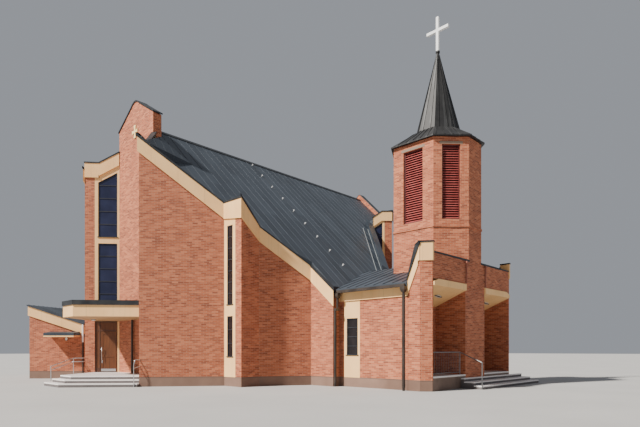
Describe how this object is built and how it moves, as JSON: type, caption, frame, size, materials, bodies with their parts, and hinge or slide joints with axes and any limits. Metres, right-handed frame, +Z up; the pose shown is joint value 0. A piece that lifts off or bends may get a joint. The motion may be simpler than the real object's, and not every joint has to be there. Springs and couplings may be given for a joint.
{
  "type": "church building",
  "caption": "Brick parish church with a folded steep metal roof, a prow porch with a hinged door, a belfry tower over a side entrance and a low annex.",
  "frame": {"origin": "point on the ground under the nave's ridge, level with the belfry's centre line", "axes": "+X along the ridge from the porch to the back, +Y away from the belfry side, +Z up"},
  "size_m": [23.03, 26.3709, 17.85],
  "materials": {
    "brick": "matte",
    "cream": "matte",
    "glass": "gloss",
    "roof_metal": "satin",
    "stone": "matte",
    "louvre_red": "satin",
    "white_metal": "satin",
    "timber": "satin",
    "steel": "satin",
    "pipe_metal": "satin"
  },
  "bodies": {
    "building": {"wing_wall_right": "brick", "wing_wall_left": "brick", "side_wall_right": "brick", "side_wall_left": "brick", "fascia_right": "cream", "fascia_left": "cream", "corner_window_right": "glass", "corner_window_left": "glass", "front_window_right": "glass", "front_window_left": "glass", "front_pylon": "brick", "pylon_coping": "roof_metal", "pylon_cross": "cream", "rear_pylon": "brick", "rear_wall_left": "brick", "rear_wall_right": "brick", "rear_boards_right": "cream", "rear_boards_left": "cream", "rear_window_right": "glass", "rear_window_left": "glass", "main_roof": "roof_metal", "floor_slab": "stone", "tower_shaft": "brick", "belfry": "brick", "belfry_louvres": "louvre_red", "spire": "roof_metal", "spire_cross": "white_metal", "wing_roof": "roof_metal", "link_wall_front": "brick", "link_board_front": "cream", "link_window_front": "glass", "link_wall_rear": "brick", "link_board_rear": "cream", "link_window_rear": "glass", "side_facade_front": "brick", "side_facade_rear": "brick", "fin_cap_front": "cream", "fin_cap_rear": "cream", "side_door_front": "timber", "side_door_rear": "timber", "side_canopy_front": "cream", "side_canopy_rear": "cream", "side_landing_front": "stone", "side_landing_rear": "stone", "side_steps": "stone", "side_railing": "steel", "flight_rail": "steel", "porch_canopy": "cream", "porch_platform": "stone", "main_door_frame": "timber", "porch_handrail": "steel", "porch_steps": "stone", "link_gutter_front": "pipe_metal", "link_gutter_rear": "pipe_metal", "annex_walls": "brick", "annex_verge": "cream", "annex_roof": "roof_metal", "passage_roof": "roof_metal", "annex_canopy": "roof_metal"},
    "door_leaf": {"main_door": "timber"}
  },
  "joints": [
    {"name": "main_door_hinge", "type": "hinge", "parent": "building", "child": "door_leaf", "pos_m": [-9.3122, 1.9845, 0.49], "axis": [0, 0, 1], "range_deg": [0, 100]}
  ]
}
